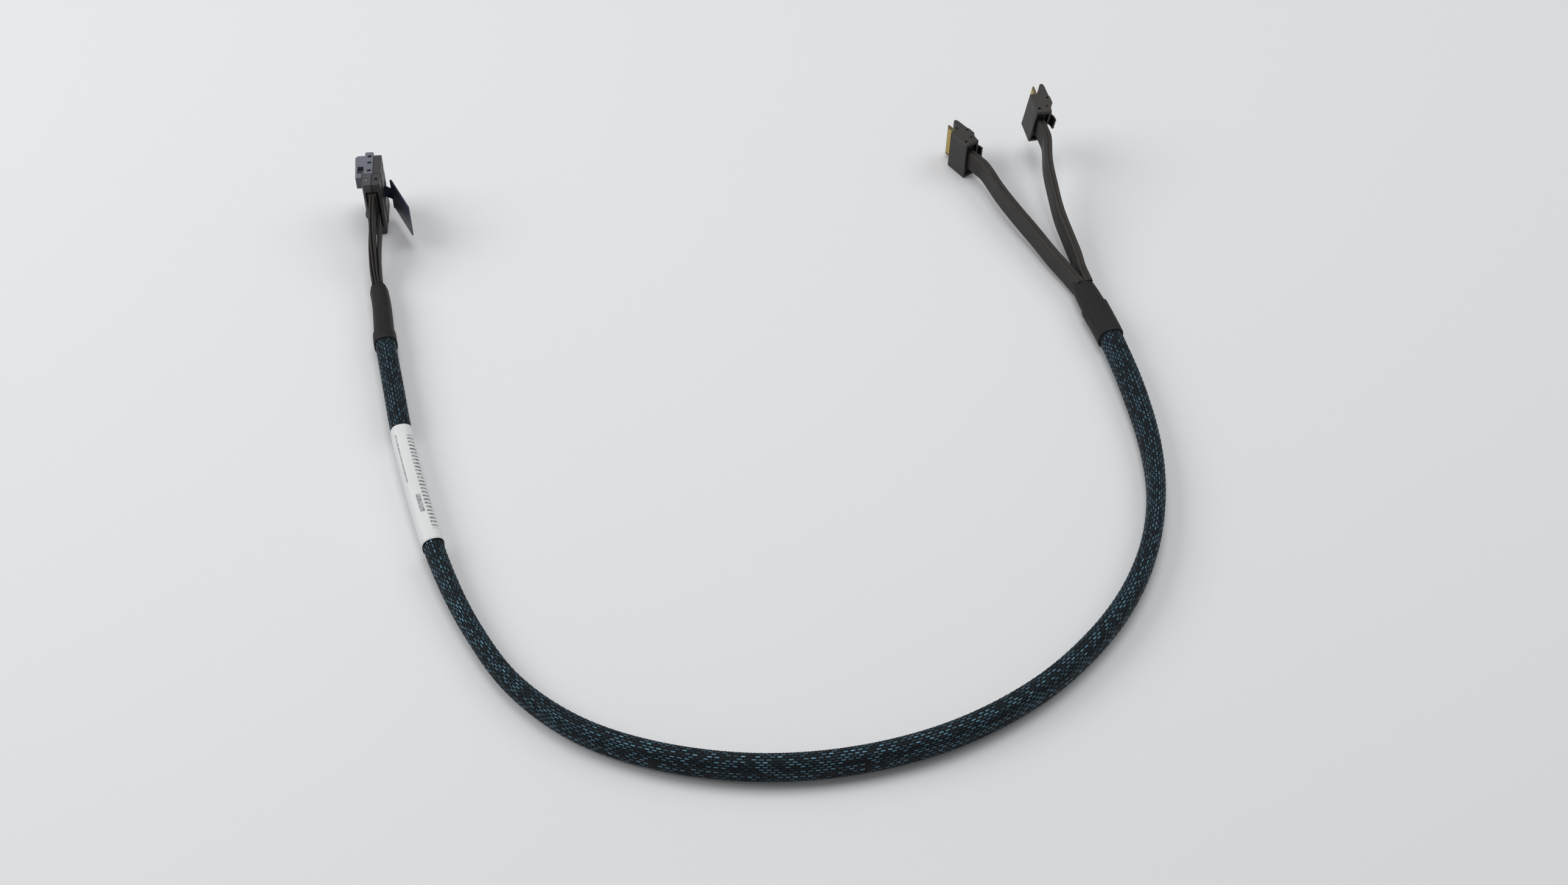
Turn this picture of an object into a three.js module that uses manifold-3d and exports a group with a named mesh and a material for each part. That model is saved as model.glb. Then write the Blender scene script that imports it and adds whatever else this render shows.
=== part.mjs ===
// A breakout cable for card slots: one wide plug, a braided cable that lies in a U, and two narrow plugs.
// Millimetres, +Z up. The table top is z = 0, and the origin is the middle of the plugs' footprint on it.
import * as THREE from "three";
import { mergeVertices } from "three/addons/utils/BufferGeometryUtils.js";
import Module from "manifold-3d";

const wasm = await Module();
wasm.setup();

// Clearances
const SEAT_GAP = 0.3;
const CARD_GAP = 0.3;
const PIN_GAP = 0.1;
const EDGE_CHAMFER = 0.35;

// Narrow plug: x is its thickness, y points into the socket, z is its width
const NARROW_WIDTH = 22.2;
const NARROW_HALF_THICKNESS = 4.1;
const NARROW_LATCH_SIDE = 6.4;
const NARROW_DEPTH = 13.5;
const NARROW_END_WALL = 1.6;
const NARROW_SIDE_WALL = 1.0;
const NARROW_POCKET_DEPTH = 9.0;
const GUIDE_REACH = 6.3;
const GUIDE_INNER_FACE = 1.9;
const NARROW_CARD_X = 0.2;
const NARROW_CARD_MARGIN = 1.6;
const NARROW_CARD_REACH = 6.3;
const NARROW_PAD_COUNT = 19;

// Press latch of a narrow plug
const LATCH_WIDTH = 7.0;
const LATCH_SIDE_GAP = 0.3;
const LATCH_PIVOT_X = 4.5;
const LATCH_PIVOT_Y = 9.8;
const LATCH_KNUCKLE_RADIUS = 1.3;
const LATCH_PIN_RADIUS = 0.5;
const LATCH_ARM_INNER = 4.35;
const LATCH_ARM_OUTER = 5.6;
const LATCH_HOOK_TIP = 2.75;
const LATCH_HOOK_BACK = 15.6;
const LATCH_ARM_END = 17.2;
const LATCH_THUMB_X = 8.5;

// Wide plug
const WIDE_WIDTH = 33.5;
const WIDE_LEFT_FACE = -3.6;
const WIDE_STEP_FACE = 0.6;
const WIDE_RIGHT_FACE = 4.7;
const WIDE_FRONT = 24.5;
const WIDE_STEP_FRONT = 21.6;
const WIDE_SEAM = 7.6;
const WIDE_END_WALL = 1.9;
const WIDE_MOUTH_LEFT = -2.8;
const WIDE_MOUTH_RIGHT = 1.9;
const WIDE_MOUTH_FLOOR = 14.5;
const WIDE_CARD_X = -0.7;
const WIDE_CARD_MARGIN = 3.0;
const WIDE_CARD_SETBACK = 2.2;
const WIDE_PAD_COUNT = 37;
const COVER_THICKNESS = 0.8;
const SHELL_HALF_THICKNESS = 4.4;
const SHELL_REAR = -0.7;
const SHELL_WALL = 1.4;
const SHELL_SPLIT = 0.3;
const KEY_BLOCK_HEIGHT = 7.0;
const KEY_BLOCK_LEFT = -8.3;
const KEY_BLOCK_REAR = 5.0;
const KEY_BLOCK_FRONT = 21.5;

// Latch plate and pull tab of the wide plug
const PLATE_THICKNESS = 0.4;
const PLATE_REAR = 9.8;
const PLATE_FRONT = 20.5;
const PLATE_HEIGHT = 19.5;
const HOOK_WIDTH = 3.0;
const HOOK_NECK = 1.7;
const HOOK_BUMP = 0.9;
const LATCH_TRAVEL = 1.5;
const TAB_THICKNESS = 0.6;
const TAB_HEIGHT = 19.0;
const TAB_LENGTH = 23.0;
const TAB_NECK_HEIGHT = 7.0;

// Paddle cards and their gold pads
const CARD_THICKNESS = 1.0;
const CARD_REAR = 3.0;
const CARD_BEVEL = 0.3;
const PAD_THICKNESS = 0.1;
const PAD_FILL = 0.58;
const PAD_MARGIN = 1.4;

// Flat ribbons, heat-shrink, braided sleeve and label
const RIBBON_HEIGHT = 10.5;
const RIBBON_THICKNESS = 1.15;
const RIBBON_PITCH = 1.4;
const LEG_HEIGHT = 11.2;
const LEG_THICKNESS = 4.2;
const WRAP_GAP = 0.2;
const LABEL_WALL = 0.4;
const BAND_WALL = 0.5;
const COLLAR_WALL = 0.6;
const SLEEVE_STEPS = 56;

// Where each plug lies: the middle of its rear face, its turn about z, and how far it is tipped, in degrees
const WIDE_PLACE = { x: -168.3, y: -40, z: 0, turn: 6.5, pitch: 0, roll: 0 };
const NEAR_PLACE = { x: 135.2, y: 18.1, z: 0, turn: 38, pitch: 0, roll: 0 };
const FAR_PLACE = { x: 169.3, y: 28.5, z: 16, turn: 15.2, pitch: 8.5, roll: 3.3 };

// The trunk, chosen by hand: its middle line from the wide plug's side to the Y, with its width and height there
const TRUNK_KNOTS = [
  [-160.8, -86, 7.3, 9, 12.2], [-156.9, -99.3, 7.2, 9.2, 12.4], [-152.2, -120.8, 7.1, 9.8, 12.6],
  [-144.2, -149.7, 7, 10, 12.6], [-134.8, -182.5, 7, 10, 12.6], [-121.8, -220.3, 6.8, 9.8, 11.9],
  [-106.9, -257.4, 6.2, 9.2, 11.1], [-89.9, -288.9, 5.5, 8.4, 10.8], [-68.5, -317.4, 5.6, 8.6, 11],
  [-39.9, -338.7, 6.3, 9.4, 12.6], [-5.9, -350.6, 6.8, 9.7, 13.5], [36.1, -354.7, 6.9, 9.8, 13.8],
  [77.7, -349.3, 6.9, 9.8, 13.8], [117.1, -335.3, 6.9, 9.8, 13.8], [152.2, -312.7, 6.8, 9.8, 13.6],
  [177.3, -287.2, 6.7, 9.7, 13.4], [194.1, -262.3, 6.7, 9.3, 13.3], [205.7, -234.6, 6.7, 8.8, 13.2],
  [211.6, -205.2, 6.6, 8.6, 13], [212.1, -175.3, 6.4, 10, 12.4], [207.2, -139.8, 6.6, 11.4, 11.9],
  [198.8, -104.9, 7.2, 11.3, 11.7], [192.8, -85.9, 7.3, 11.8, 11.6], [187.1, -68.6, 7.3, 12.6, 11.6],
];
const LEAD_ROUTE = [
  [-167.9, -43.8], [-167.2, -49.7], [-166.38, -57.23], [-165.3, -65.28], [-163.9, -72.95], [-162.96, -77.61],
  [-162.02, -81.67], [-161.05, -85.2],
];
const UPPER_RIBBON_Z = [23.0, 22.5, 20.2, 15.8, 10.8, 8.6, 7.6, 7.35];
const LOWER_RIBBON_Z = [10.5, 10.4, 9.9, 9.0, 8.1, 7.7, 7.4, 7.3];
const NEAR_LEG_ROUTE = [
  [138.83, 13.45, 11.1], [141.97, 9.43, 11], [149.6, -7.4, 10.3], [156.5, -20.4, 9.7], [165.4, -35.8, 8.9],
  [174.1, -51.2, 7.9], [180.94, -62.36, 7.4], [184.52, -68.76, 7.3],
];
const FAR_LEG_ROUTE = [
  [171.88, 21.46, 26.09], [173.19, 16.6, 25.24], [173.5, 2.1, 21.5], [175.5, -11.7, 18], [178.4, -27.2, 14.3],
  [182.5, -40.7, 11], [185.8, -51.7, 8.8], [187.68, -61.09, 7.5], [189.33, -67.39, 7.3],
];
const LEFT_SHRINK_LENGTH = 35.5;
const Y_SHRINK_LENGTH = 19;
const COLLAR_LENGTH = 20.5;
const LABEL_SPAN = [62.5, 132];
const BAND_LENGTH = 5.6;

const rubber = { color: 0x1c1c1d, roughness: 0.75, metalness: 0 };
const blackPlastic = { color: 0x1b1b1c, roughness: 0.55, metalness: 0 };
const greyPlastic = { color: 0x5d6068, roughness: 0.5, metalness: 0 };
const darkGreyPlastic = { color: 0x3b3b40, roughness: 0.5, metalness: 0 };
const navyPlastic = { color: 0x161d33, roughness: 0.4, metalness: 0 };
const braid = { color: 0x15191d, roughness: 0.7, metalness: 0 };
const paper = { color: 0xe4e5e6, roughness: 0.6, metalness: 0 };
const gold = { color: 0xc9a54a, roughness: 0.3, metalness: 1 };
const steel = { color: 0xa9abad, roughness: 0.35, metalness: 1 };

// Solids: a closed geometry as a manifold, and back
function solidOf(geometry) {
  const plain = geometry.clone();
  plain.deleteAttribute("normal");
  plain.deleteAttribute("uv");
  const merged = mergeVertices(plain, 1e-4);
  return new wasm.Manifold(
    new wasm.Mesh({
      numProp: 3,
      vertProperties: merged.attributes.position.array,
      triVerts: new Uint32Array(merged.index.array),
    }),
  );
}

function geometryOf(solid) {
  const mesh = solid.getMesh();
  const geometry = new THREE.BufferGeometry();
  geometry.setAttribute("position", new THREE.BufferAttribute(mesh.vertProperties, 3));
  geometry.setIndex(new THREE.BufferAttribute(mesh.triVerts, 1));
  return geometry;
}

function join(...geometries) {
  return geometryOf(geometries.map(solidOf).reduce((all, next) => all.add(next)));
}

function cut(body, ...tools) {
  return geometryOf(tools.map(solidOf).reduce((left, tool) => left.subtract(tool), solidOf(body)));
}

// A block between two corners
function block([x0, y0, z0], [x1, y1, z1]) {
  const size = new THREE.BoxGeometry(x1 - x0, y1 - y0, z1 - z0);
  return size.translate((x0 + x1) / 2, (y0 + y1) / 2, (z0 + z1) / 2);
}

// A plan outline raised from z0 to z1, with its end edges chamfered and its outline kept
function prism(outline, z0, z1, chamfer = 0) {
  const shape = new THREE.Shape(outline.map(([x, y]) => new THREE.Vector2(x, y)));
  const geometry = new THREE.ExtrudeGeometry(shape, {
    depth: z1 - z0 - 2 * chamfer,
    bevelEnabled: chamfer > 0,
    bevelThickness: chamfer,
    bevelSize: chamfer,
    bevelOffset: -chamfer,
    bevelSegments: 1,
  });
  return geometry.translate(0, 0, z0 + chamfer);
}

// A round pin or hole along z
function rod(x, y, radius, z0, z1, sides = 16) {
  const cylinder = new THREE.CylinderGeometry(radius, radius, z1 - z0, sides);
  return cylinder.rotateX(Math.PI / 2).translate(x, y, (z0 + z1) / 2);
}

function named(name, geometry, finish) {
  const mesh = new THREE.Mesh(geometry, new THREE.MeshStandardMaterial(finish));
  mesh.name = name;
  return mesh;
}

// Lays a plug down: turned about z, then pitched about its own x, then rolled about its own y
function placed(plug, place) {
  const radians = [place.pitch, place.roll, place.turn].map(THREE.MathUtils.degToRad);
  plug.position.set(place.x, place.y, place.z);
  plug.rotation.set(...radians, "ZXY");
  return plug;
}

// A paddle card on edge: a board with both front edges bevelled
function cardBoard(x, front, z0, z1) {
  const left = x - CARD_THICKNESS / 2;
  const right = x + CARD_THICKNESS / 2;
  const outline = [
    [left, CARD_REAR],
    [right, CARD_REAR],
    [right, front - 2 * CARD_BEVEL],
    [right - CARD_BEVEL, front],
    [left + CARD_BEVEL, front],
    [left, front - 2 * CARD_BEVEL],
  ];
  return prism(outline, z0, z1);
}

// A card with its gold pads, which stand a little proud in a row on both faces
function paddleCard(x, count, front, padRear, z0, z1) {
  const pitch = (z1 - z0 - 2 * PAD_MARGIN) / count;
  const halfPad = (pitch * PAD_FILL) / 2;
  const reach = CARD_THICKNESS / 2 + PAD_THICKNESS;
  const padFront = front - 2 * CARD_BEVEL - 0.2;
  const pads = [];
  for (let i = 0; i < count; i++) {
    const z = z0 + PAD_MARGIN + (i + 0.5) * pitch;
    pads.push(block([x - reach, padRear, z - halfPad], [x + reach, padFront, z + halfPad]));
  }
  return join(cardBoard(x, front, z0, z1), ...pads);
}

// The slot that a card passes through
function cardSlot(x, y0, y1, z0, z1) {
  const reach = CARD_THICKNESS / 2 + CARD_GAP;
  return block([x - reach, y0, z0 - CARD_GAP], [x + reach, y1, z1 + CARD_GAP]);
}

// Narrow plug
const latchZ0 = (NARROW_WIDTH - LATCH_WIDTH) / 2;
const latchZ1 = latchZ0 + LATCH_WIDTH;
const narrowCardZ0 = NARROW_CARD_MARGIN;
const narrowCardZ1 = NARROW_WIDTH - NARROW_CARD_MARGIN;
const narrowCardFront = NARROW_DEPTH + NARROW_CARD_REACH;
const narrowPocketHalf = NARROW_HALF_THICKNESS - NARROW_SIDE_WALL;
const REAR_PIN = [2.65, 4.1];
const REAR_PIN_RADIUS = 0.6;
const VENT_HOLE = [-1.9, 2.9];
const VENT_RADIUS = 0.75;
const VENT_DEPTH = 1.1;

function narrowHousing() {
  const nose = NARROW_DEPTH + GUIDE_REACH;
  const outline = [
    [-NARROW_HALF_THICKNESS, 0],
    [NARROW_HALF_THICKNESS, 0],
    [4.7, 3.6],
    [5.4, 5.0],
    [NARROW_LATCH_SIDE, 6.1],
    [NARROW_LATCH_SIDE, nose - 9.6],
    [5.9, nose - 8.4],
    [5.6, nose - 1.4],
    [5.1, nose - 0.2],
    [4.6, nose],
    [3.7, nose - 0.1],
    [3.2, nose - 0.8],
    [GUIDE_INNER_FACE, nose - 3.8],
    [GUIDE_INNER_FACE, NARROW_DEPTH],
    [-NARROW_HALF_THICKNESS + 0.8, NARROW_DEPTH],
    [-NARROW_HALF_THICKNESS, NARROW_DEPTH - 0.8],
  ];
  const body = prism(outline, 0, NARROW_WIDTH, EDGE_CHAMFER);
  const z0 = latchZ0 - LATCH_SIDE_GAP;
  const z1 = latchZ1 + LATCH_SIDE_GAP;
  const channel = block([LATCH_ARM_INNER - 0.45, -1, z0], [9, LATCH_ARM_END + 0.4, z1]);
  const window = block([1, LATCH_HOOK_BACK - 0.4, z0], [5, LATCH_ARM_END + 0.4, z1]);
  const knuckleRoom = rod(LATCH_PIVOT_X, LATCH_PIVOT_Y, LATCH_KNUCKLE_RADIUS + SEAT_GAP, z0, z1, 20);
  const pinHole = rod(LATCH_PIVOT_X, LATCH_PIVOT_Y, LATCH_PIN_RADIUS + PIN_GAP, -1, NARROW_WIDTH + 1);
  const pocket = block(
    [-narrowPocketHalf, -1, NARROW_END_WALL],
    [narrowPocketHalf, NARROW_POCKET_DEPTH, NARROW_WIDTH - NARROW_END_WALL],
  );
  const slot = cardSlot(NARROW_CARD_X, CARD_REAR - CARD_GAP, NARROW_DEPTH + 1, narrowCardZ0, narrowCardZ1);
  const endHoles = [];
  for (const z of [0, NARROW_WIDTH]) {
    endHoles.push(rod(...REAR_PIN, REAR_PIN_RADIUS + PIN_GAP, z - 2, z + 2));
    endHoles.push(rod(...VENT_HOLE, VENT_RADIUS, z - VENT_DEPTH, z + VENT_DEPTH));
  }
  return cut(body, channel, window, knuckleRoom, pinHole, pocket, slot, ...endHoles);
}

// The moulding that grips the card and the ribbons, with its tapered boot behind the housing
const NARROW_BOOT_REACH = 5.6;
const BOOT_MARGIN = 1.5;

function tapered(frontX, rearX, y0, y1, z0, z1, inset) {
  const half = (z1 - z0) / 2;
  const geometry = new THREE.BoxGeometry(2, y1 - y0, 2);
  const position = geometry.attributes.position;
  for (let i = 0; i < position.count; i++) {
    const atFront = position.getY(i) > 0;
    position.setX(i, position.getX(i) * (atFront ? frontX : rearX));
    position.setZ(i, position.getZ(i) * (atFront ? half : half - inset));
  }
  return geometry.translate(0, (y0 + y1) / 2, (z0 + z1) / 2);
}

function narrowMould() {
  const half = narrowPocketHalf - SEAT_GAP;
  const front = NARROW_POCKET_DEPTH - SEAT_GAP;
  const low = NARROW_END_WALL + SEAT_GAP;
  const core = block([-half, 0.4, low], [half, front, NARROW_WIDTH - low]);
  const mid = NARROW_WIDTH / 2;
  const reach = LEG_HEIGHT / 2 + BOOT_MARGIN + 1.0;
  const boot = tapered(half, LEG_THICKNESS / 2 + 0.6, -NARROW_BOOT_REACH, 0.9, mid - reach, mid + reach, 1.2);
  const slot = cardSlot(NARROW_CARD_X, CARD_REAR - CARD_GAP, front + 1, narrowCardZ0, narrowCardZ1);
  return cut(join(core, boot), slot);
}

function pressLatch() {
  const outline = [
    [LATCH_THUMB_X, 0.6],
    [LATCH_THUMB_X - 0.2, 3.0],
    [6.9, 6.2],
    [LATCH_ARM_OUTER, 8.2],
    [LATCH_ARM_OUTER, LATCH_ARM_END - 0.4],
    [LATCH_ARM_OUTER - 0.4, LATCH_ARM_END],
    [LATCH_ARM_INNER, LATCH_ARM_END],
    [LATCH_HOOK_TIP, LATCH_HOOK_BACK + 0.6],
    [LATCH_HOOK_TIP, LATCH_HOOK_BACK],
    [LATCH_ARM_INNER, LATCH_HOOK_BACK],
    [LATCH_ARM_INNER, 7.6],
    [5.8, 5.2],
    [LATCH_THUMB_X - 1.3, 2.6],
    [LATCH_THUMB_X - 1.1, 0.6],
  ];
  const arm = prism(outline, latchZ0, latchZ1, 0.2);
  const knuckle = rod(LATCH_PIVOT_X, LATCH_PIVOT_Y, LATCH_KNUCKLE_RADIUS, latchZ0, latchZ1, 20);
  const bore = rod(LATCH_PIVOT_X, LATCH_PIVOT_Y, LATCH_PIN_RADIUS + PIN_GAP, latchZ0 - 1, latchZ1 + 1);
  const grips = [];
  for (const z of [-1.6, 0, 1.6]) {
    const middle = NARROW_WIDTH / 2 + z;
    grips.push(block([LATCH_THUMB_X - 0.35, -1, middle - 0.35], [LATCH_THUMB_X + 1, 2.8, middle + 0.35]));
  }
  return cut(join(arm, knuckle), bore, ...grips);
}

function latchPin() {
  const inset = 0.8;
  return rod(LATCH_PIVOT_X, LATCH_PIVOT_Y, LATCH_PIN_RADIUS, inset, NARROW_WIDTH - inset);
}

function rearPin(end) {
  const inset = 0.1;
  const [z0, z1] = end > 0 ? [NARROW_WIDTH - NARROW_END_WALL, NARROW_WIDTH - inset] : [inset, NARROW_END_WALL];
  return rod(...REAR_PIN, REAR_PIN_RADIUS, z0, z1);
}

function narrowPlug(prefix, place) {
  const plug = new THREE.Group();
  const cardSize = [narrowCardFront, NARROW_DEPTH + 0.9, narrowCardZ0, narrowCardZ1];
  plug.add(
    named(`${prefix}_housing`, narrowHousing(), blackPlastic),
    named(`${prefix}_inner_mould`, narrowMould(), rubber),
    named(`${prefix}_paddle_card`, paddleCard(NARROW_CARD_X, NARROW_PAD_COUNT, ...cardSize), gold),
    named(`${prefix}_press_latch`, pressLatch(), blackPlastic),
    named(`${prefix}_latch_pin`, latchPin(), steel),
    named(`${prefix}_rear_pin_top`, rearPin(1), steel),
    named(`${prefix}_rear_pin_bottom`, rearPin(-1), steel),
  );
  return placed(plug, place);
}

// Wide plug: front housing with its mouth, end slots, key block and the seat of the latch
const wideCardZ0 = WIDE_CARD_MARGIN;
const wideCardZ1 = WIDE_WIDTH - WIDE_CARD_MARGIN;
const wideCardFront = WIDE_FRONT - WIDE_CARD_SETBACK;
const coverInner = WIDE_RIGHT_FACE - COVER_THICKNESS;
const plateInner = coverInner - SEAT_GAP - PLATE_THICKNESS;
const plateZ0 = (WIDE_WIDTH - PLATE_HEIGHT) / 2;
const plateZ1 = plateZ0 + PLATE_HEIGHT;
const shellPocket = SHELL_HALF_THICKNESS - SHELL_WALL;
const WIDE_POCKET_DEPTH = 12.5;
const END_SLOTS = [10.4, 16.3, 21.0];
const END_SLOT_X = -1.2;
const END_SLOT_SIZE = [1.9, 1.5, 1.2];

function endSlots() {
  const [sizeX, sizeY, depth] = END_SLOT_SIZE;
  const slots = [];
  for (const y of END_SLOTS) {
    for (const z of [0, WIDE_WIDTH]) {
      const low = [END_SLOT_X - sizeX / 2, y - sizeY / 2, z - depth];
      slots.push(block(low, [END_SLOT_X + sizeX / 2, y + sizeY / 2, z + depth]));
    }
  }
  return slots;
}

function keyBlock() {
  const radius = 2;
  const shape = new THREE.Shape();
  shape.moveTo(WIDE_LEFT_FACE + 0.5, WIDE_SEAM + SEAT_GAP);
  shape.lineTo(WIDE_LEFT_FACE + 0.5, KEY_BLOCK_FRONT);
  shape.lineTo(KEY_BLOCK_LEFT + radius, KEY_BLOCK_FRONT);
  shape.absarc(KEY_BLOCK_LEFT + radius, KEY_BLOCK_FRONT - radius, radius, Math.PI / 2, Math.PI, false);
  shape.lineTo(KEY_BLOCK_LEFT + 0.6, KEY_BLOCK_REAR);
  shape.lineTo(-SHELL_HALF_THICKNESS - SEAT_GAP, KEY_BLOCK_REAR);
  shape.lineTo(-SHELL_HALF_THICKNESS - SEAT_GAP, WIDE_SEAM + SEAT_GAP);
  const body = new THREE.ExtrudeGeometry(shape, {
    depth: KEY_BLOCK_HEIGHT,
    bevelEnabled: false,
    curveSegments: 4,
  });
  return body.translate(0, 0, WIDE_WIDTH - KEY_BLOCK_HEIGHT);
}

function wideHousing() {
  const outline = [
    [WIDE_LEFT_FACE, WIDE_SEAM + SEAT_GAP],
    [coverInner, WIDE_SEAM + SEAT_GAP],
    [coverInner, WIDE_STEP_FRONT - 0.4],
    [coverInner - 0.4, WIDE_STEP_FRONT],
    [WIDE_STEP_FACE, WIDE_STEP_FRONT],
    [WIDE_STEP_FACE, WIDE_FRONT - 0.4],
    [WIDE_STEP_FACE - 0.4, WIDE_FRONT],
    [WIDE_LEFT_FACE + 0.5, WIDE_FRONT],
    [WIDE_LEFT_FACE, WIDE_FRONT - 0.5],
  ];
  const body = join(prism(outline, 0, WIDE_WIDTH, EDGE_CHAMFER), keyBlock());
  const flange = COVER_THICKNESS + SEAT_GAP;
  const mouth = block(
    [WIDE_MOUTH_LEFT, WIDE_MOUTH_FLOOR, WIDE_END_WALL],
    [WIDE_MOUTH_RIGHT, WIDE_FRONT + 1, WIDE_WIDTH - WIDE_END_WALL],
  );
  const pocket = block(
    [-shellPocket + SEAT_GAP, WIDE_SEAM - 1, WIDE_END_WALL + SEAT_GAP],
    [plateInner - 2 * SEAT_GAP, WIDE_POCKET_DEPTH, WIDE_WIDTH - WIDE_END_WALL - SEAT_GAP],
  );
  const plateRoom = block(
    [plateInner - SEAT_GAP, WIDE_SEAM - 1, plateZ0 - SEAT_GAP],
    [WIDE_RIGHT_FACE + 1, WIDE_STEP_FRONT + 1, plateZ1 + SEAT_GAP],
  );
  const keyPocket = block([-6.9, 8.3, WIDE_WIDTH - 4.5], [-3.9, 13.4, WIDE_WIDTH + 1]);
  return cut(
    body,
    block([WIDE_STEP_FACE, 0, -1], [9, 30, flange]),
    block([WIDE_STEP_FACE, 0, WIDE_WIDTH - flange], [9, 30, WIDE_WIDTH + 1]),
    mouth,
    pocket,
    plateRoom,
    keyPocket,
    cardSlot(WIDE_CARD_X, WIDE_POCKET_DEPTH - 1, WIDE_MOUTH_FLOOR + 1, wideCardZ0, wideCardZ1),
    ...endSlots(),
  );
}

// The cap that holds the latch plate: a channel with a window for the pull tab's neck
const WINDOW_Y = [10.2, 18.2];

function latchCover() {
  const y0 = WIDE_SEAM + SEAT_GAP;
  const y1 = WIDE_STEP_FRONT;
  const inner = WIDE_STEP_FACE + SEAT_GAP;
  const whole = block([inner, y0, 0], [WIDE_RIGHT_FACE, y1, WIDE_WIDTH]);
  const hollow = block([inner - 1, y0 - 1, COVER_THICKNESS], [coverInner + 0.1, y1 + 1, WIDE_WIDTH - COVER_THICKNESS]);
  const mid = WIDE_WIDTH / 2;
  const half = TAB_NECK_HEIGHT / 2 + 0.6;
  const window = block([coverInner - 1, WINDOW_Y[0], mid - half], [9, WINDOW_Y[1], mid + half]);
  const ribs = [];
  for (const z of [4.2, WIDE_WIDTH - 4.2]) {
    ribs.push(block([WIDE_RIGHT_FACE - 0.35, y0 + 1.5, z - 0.8], [9, y1 - 1.5, z + 0.8]));
  }
  const hookRoomY = PLATE_FRONT + HOOK_NECK - LATCH_TRAVEL - SEAT_GAP;
  const hookRooms = [plateZ0, plateZ1 - HOOK_WIDTH].map((z) =>
    block([coverInner - 1, hookRoomY, z - SEAT_GAP], [9, y1 + 1, z + HOOK_WIDTH + SEAT_GAP]),
  );
  return cut(whole, hollow, window, ...ribs, ...hookRooms);
}

// The rear shell, in two halves that meet at the ribbons
const SHELL_RIVETS = [-2.6, 2.6];
const SHELL_RIVET_Y = 3.6;
const RIVET_RADIUS = 0.75;
const RIBBON_EXIT = [5.0, 28.5];

function shellHalf(side) {
  const edge = SHELL_HALF_THICKNESS * side;
  const meet = SHELL_SPLIT + (SEAT_GAP / 2) * side;
  const [x0, x1] = side < 0 ? [edge, meet] : [meet, edge];
  const outline = [
    [x0, SHELL_REAR + (side < 0 ? 0.8 : 0)],
    [side < 0 ? x0 + 0.8 : x0, SHELL_REAR],
    [side < 0 ? x1 : x1 - 0.8, SHELL_REAR],
    [x1, SHELL_REAR + (side < 0 ? 0 : 0.8)],
    [x1, WIDE_SEAM],
    [x0, WIDE_SEAM],
  ];
  let body = prism(outline, 0, WIDE_WIDTH);
  if (side < 0) {
    body = join(body, block([edge - 1.4, KEY_BLOCK_REAR, 6.4], [edge + 0.5, WIDE_SEAM, 9.2]));
  }
  const pocket = block([-shellPocket, 1.2, WIDE_END_WALL], [shellPocket, WIDE_SEAM + 1, WIDE_WIDTH - WIDE_END_WALL]);
  const exit = block([-shellPocket, SHELL_REAR - 1, RIBBON_EXIT[0]], [shellPocket, 2, RIBBON_EXIT[1]]);
  const holes = [0, WIDE_WIDTH].map((z) =>
    rod(SHELL_RIVETS[side < 0 ? 0 : 1], SHELL_RIVET_Y, RIVET_RADIUS + PIN_GAP, z - 1.2, z + 1.2),
  );
  return cut(body, pocket, exit, ...holes);
}

function shellRivets(prefix) {
  const depth = 1.1;
  const inset = 0.2;
  const heads = [];
  for (const [i, x] of SHELL_RIVETS.entries()) {
    const side = i === 0 ? "left" : "right";
    const low = rod(x, SHELL_RIVET_Y, RIVET_RADIUS, inset, depth);
    const high = rod(x, SHELL_RIVET_Y, RIVET_RADIUS, WIDE_WIDTH - depth, WIDE_WIDTH - inset);
    heads.push(named(`${prefix}_${side}_rivet_bottom`, low, steel));
    heads.push(named(`${prefix}_${side}_rivet_top`, high, steel));
  }
  return heads;
}

const WIDE_BOOT_REACH = 2.6;

function wideMould() {
  const half = shellPocket - 2 * SEAT_GAP;
  const right = plateInner - 3 * SEAT_GAP;
  const low = WIDE_END_WALL + 2 * SEAT_GAP;
  const front = WIDE_POCKET_DEPTH - SEAT_GAP;
  const core = block([-half, 1.5, low], [Math.min(half, right), front, WIDE_WIDTH - low]);
  const exit = [RIBBON_EXIT[0] + SEAT_GAP, RIBBON_EXIT[1] - SEAT_GAP];
  const boot = tapered(half, half - 0.3, -WIDE_BOOT_REACH, 1.8, exit[0], exit[1], 0.6);
  const slot = cardSlot(WIDE_CARD_X, CARD_REAR - CARD_GAP, front + 1, wideCardZ0, wideCardZ1);
  return cut(join(core, boot), slot);
}

// The sprung steel plate that slides behind the cover, with two hooks at its front
function latchPlate() {
  const outer = plateInner + PLATE_THICKNESS;
  const plate = block([plateInner, PLATE_REAR, plateZ0], [outer, PLATE_FRONT, plateZ1]);
  const pieces = [plate];
  for (const z of [plateZ0, plateZ1 - HOOK_WIDTH]) {
    const outline = [
      [plateInner, PLATE_FRONT - 0.5],
      [outer, PLATE_FRONT - 0.5],
      [outer, PLATE_FRONT + HOOK_NECK],
      [outer + HOOK_BUMP, PLATE_FRONT + HOOK_NECK],
      [plateInner + 0.5, PLATE_FRONT + 2 * HOOK_NECK],
      [plateInner, PLATE_FRONT + 2 * HOOK_NECK],
    ];
    pieces.push(prism(outline, z, z + HOOK_WIDTH));
  }
  return join(...pieces);
}

// The pull tab: a foot on the plate, a neck through the window and a broad tab that leans outwards
const TAB_FOOT_Y = [13.6, 17.4];
const TAB_NECK_END = [8.7, 10.4];
const TAB_LEAN = 24;

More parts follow.
